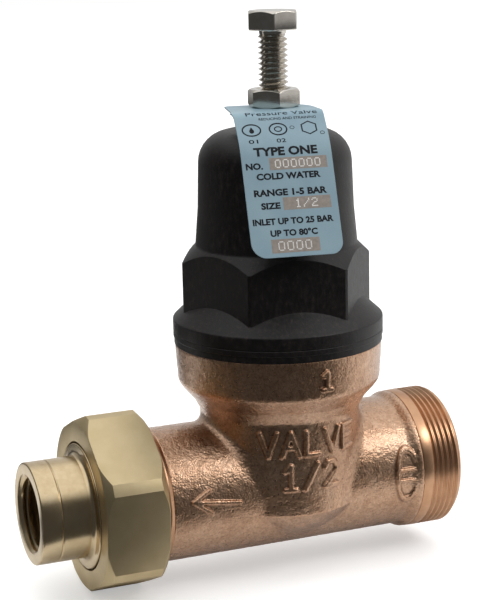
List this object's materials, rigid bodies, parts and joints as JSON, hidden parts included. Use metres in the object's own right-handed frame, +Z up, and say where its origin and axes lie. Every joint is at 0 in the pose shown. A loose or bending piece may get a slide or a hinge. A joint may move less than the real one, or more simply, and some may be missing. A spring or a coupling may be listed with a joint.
{
  "type": "pressure reducing valve",
  "caption": "Direct-acting pressure reducing valve: cast bronze body, black polymer bonnet with adjusting screw and tag, brass union outlet, threaded inlet.",
  "frame": {"origin": "centre of the inlet end face, on the pipe centreline", "axes": "+X out of the inlet along the pipe, +Z up the bonnet and adjusting screw, +Y to the back, away from the tag"},
  "size_m": [0.1199, 0.0595, 0.1534],
  "materials": {
    "cast_bronze": "cast, granular, tumbled",
    "black_polymer": "moulded, satin",
    "yellow_brass": "turned",
    "nut_brass": "forged and machined, matte",
    "turned_brass": "turned, bright",
    "stainless": "bright",
    "blue_plate": "lacquered, satin",
    "zinc_steel": "zinc plated",
    "spring_steel": "oil tempered",
    "diaphragm_rubber": "fabric reinforced",
    "seal_rubber": "smooth",
    "white_acetal": "moulded",
    "fibre": "pressed fibre"
  },
  "bodies": {
    "root": {"valve_body": "cast_bronze", "bonnet": "black_polymer", "screw_insert": "yellow_brass", "adjusting_spring": "spring_steel", "diaphragm": "diaphragm_rubber", "slip_ring": "white_acetal", "seat_barrel": "white_acetal", "barrel_oring_lower": "seal_rubber", "barrel_oring_upper": "seal_rubber", "strainer_screen": "stainless", "union_gasket": "fibre"},
    "spring_button": {"spring_button": "zinc_steel"},
    "adjusting_screw": {"adjusting_screw": "stainless"},
    "rating_tag": {"rating_tag": "blue_plate"},
    "lock_nut": {"lock_nut": "stainless"},
    "stem": {"stem": "yellow_brass", "spring_plate": "zinc_steel", "diaphragm_nut": "stainless", "diaphragm_washer": "yellow_brass", "seat_disc": "seal_rubber", "disc_holder": "yellow_brass", "piston_oring": "seal_rubber"},
    "union_tailpiece": {"union_tailpiece": "turned_brass"},
    "union_nut": {"union_nut": "nut_brass"}
  },
  "joints": [
    {"name": "screw_travel", "type": "slide", "parent": "root", "child": "spring_button", "axis": [0, 0, 1], "range_m": [-0.012, 0.006], "deforming": ["adjusting_spring"]},
    {"name": "screw_turn", "type": "hinge", "parent": "spring_button", "child": "adjusting_screw", "pos_m": [-0.0471, 0, 0.12], "axis": [0, 0, 1], "range_deg": [-3063, 1532]},
    {"name": "tag_lift", "type": "slide", "parent": "root", "child": "rating_tag", "axis": [0, 0, 1], "range_m": [0, 0.0028]},
    {"name": "lock_nut_turn", "type": "hinge", "parent": "rating_tag", "child": "lock_nut", "pos_m": [-0.0471, 0, 0.105], "axis": [0, 0, 1], "range_deg": [0, 716]},
    {"name": "stem_lift", "type": "slide", "parent": "root", "child": "stem", "axis": [0, 0, 1], "range_m": [0, 0.0024], "deforming": ["diaphragm"]},
    {"name": "union_draw", "type": "slide", "parent": "root", "child": "union_tailpiece", "axis": [-1, 0, 0], "range_m": [0, 0.012]},
    {"name": "union_nut_turn", "type": "hinge", "parent": "union_tailpiece", "child": "union_nut", "pos_m": [-0.1, 0, 0], "axis": [-1, 0, 0], "range_deg": [0, 2724]}
  ],
  "couplings": [
    {"joint": "screw_turn", "follows": "screw_travel", "rad_per_m": 4452.7},
    {"joint": "lock_nut_turn", "follows": "tag_lift", "rad_per_m": 4452.7},
    {"joint": "union_nut_turn", "follows": "union_draw", "rad_per_m": 3957.9}
  ]
}
